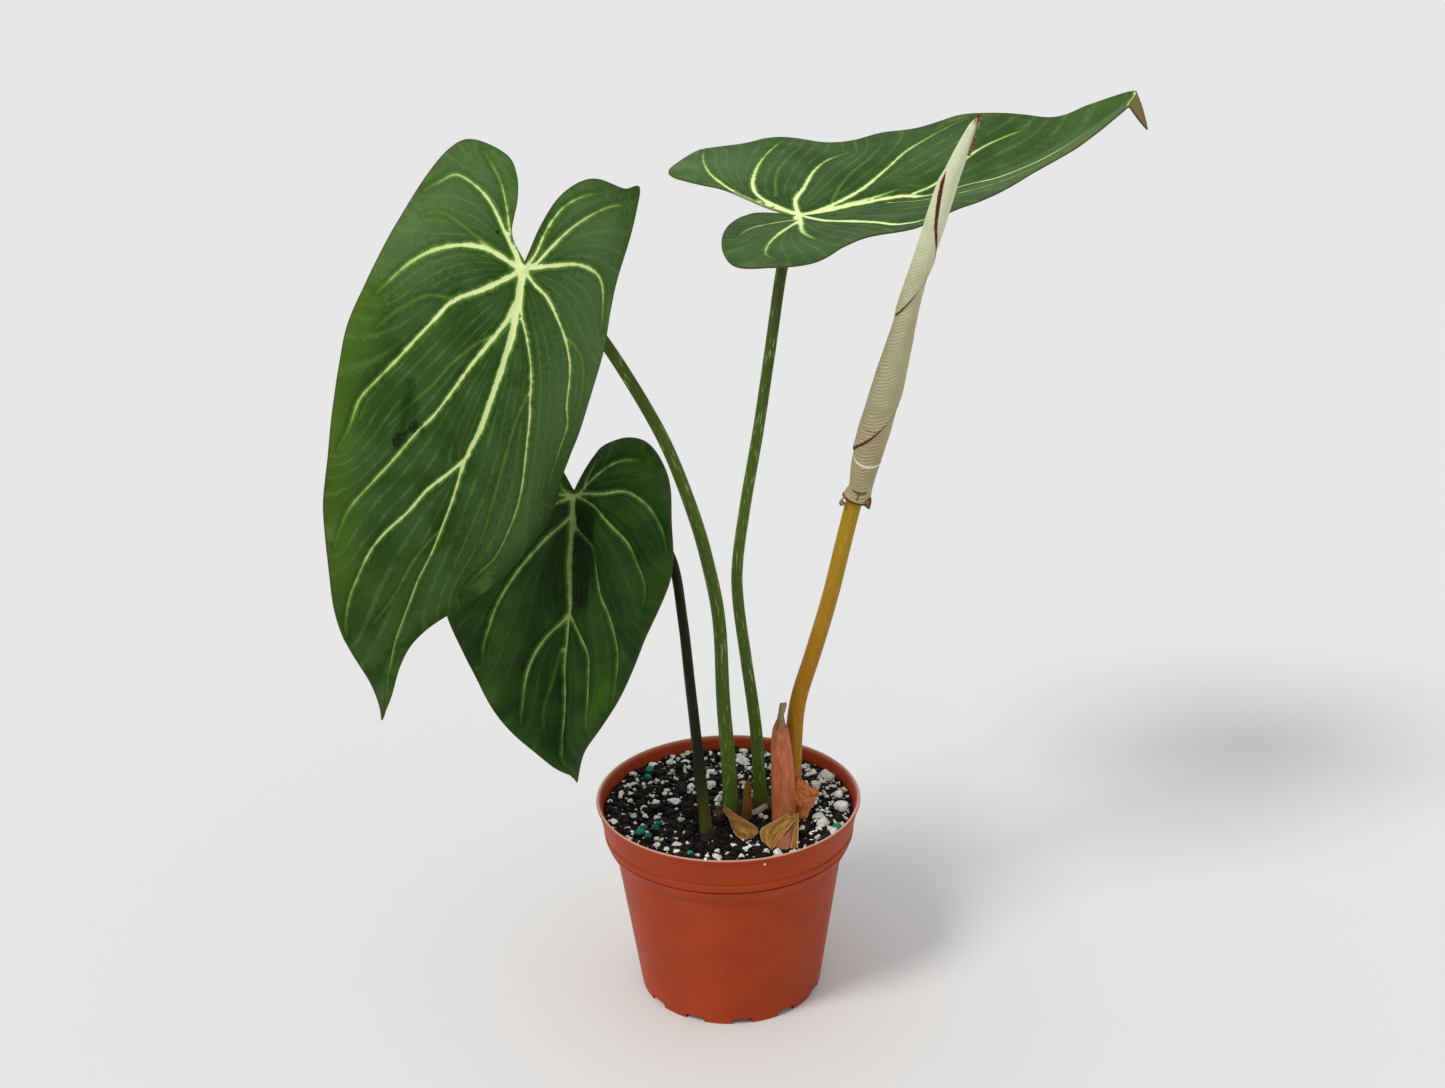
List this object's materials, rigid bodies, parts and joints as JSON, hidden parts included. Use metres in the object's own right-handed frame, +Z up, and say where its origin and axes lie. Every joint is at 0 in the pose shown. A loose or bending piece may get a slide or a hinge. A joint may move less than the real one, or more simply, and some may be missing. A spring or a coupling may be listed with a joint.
{
  "type": "potted houseplant",
  "caption": "Potted philodendron: long heart-shaped dark green leaves with pale striped veins and one rolled new leaf on slender petioles, in a round terracotta-coloured plastic nursery pot.",
  "frame": {"origin": "middle of the pot's flat base pad, where it stands", "axes": "+Z up along the pot's axis; the viewer of the picture stands at -Y, so +X is to their right"},
  "size_m": [0.288, 0.1853, 0.3547],
  "materials": {
    "terracotta_plastic": "satin",
    "potting_mix": "rough",
    "rhizome_bark": "rough",
    "leaf": "velvety",
    "dark_leaf": "velvety",
    "petiole": "satin",
    "dark_petiole": "satin",
    "young_petiole": "satin",
    "new_leaf": "satin",
    "bract": "satin",
    "dry_bract": "matt"
  },
  "bodies": {
    "root": {"pot": "terracotta_plastic", "soil": "potting_mix", "rhizome": "rhizome_bark", "petiole_large": "petiole", "petiole_upper": "petiole", "petiole_small": "dark_petiole", "petiole_new": "young_petiole", "leaf_blade_large": "leaf", "leaf_blade_upper": "leaf", "leaf_blade_small": "dark_leaf", "leaf_new_rolled": "new_leaf", "cataphyll": "bract", "dry_sheath_front": "dry_bract", "dry_sheath_middle": "dry_bract", "dry_sheath_right": "dry_bract", "dry_sheath_back": "dry_bract", "dry_sheath_stub": "bract"}
  },
  "joints": []
}
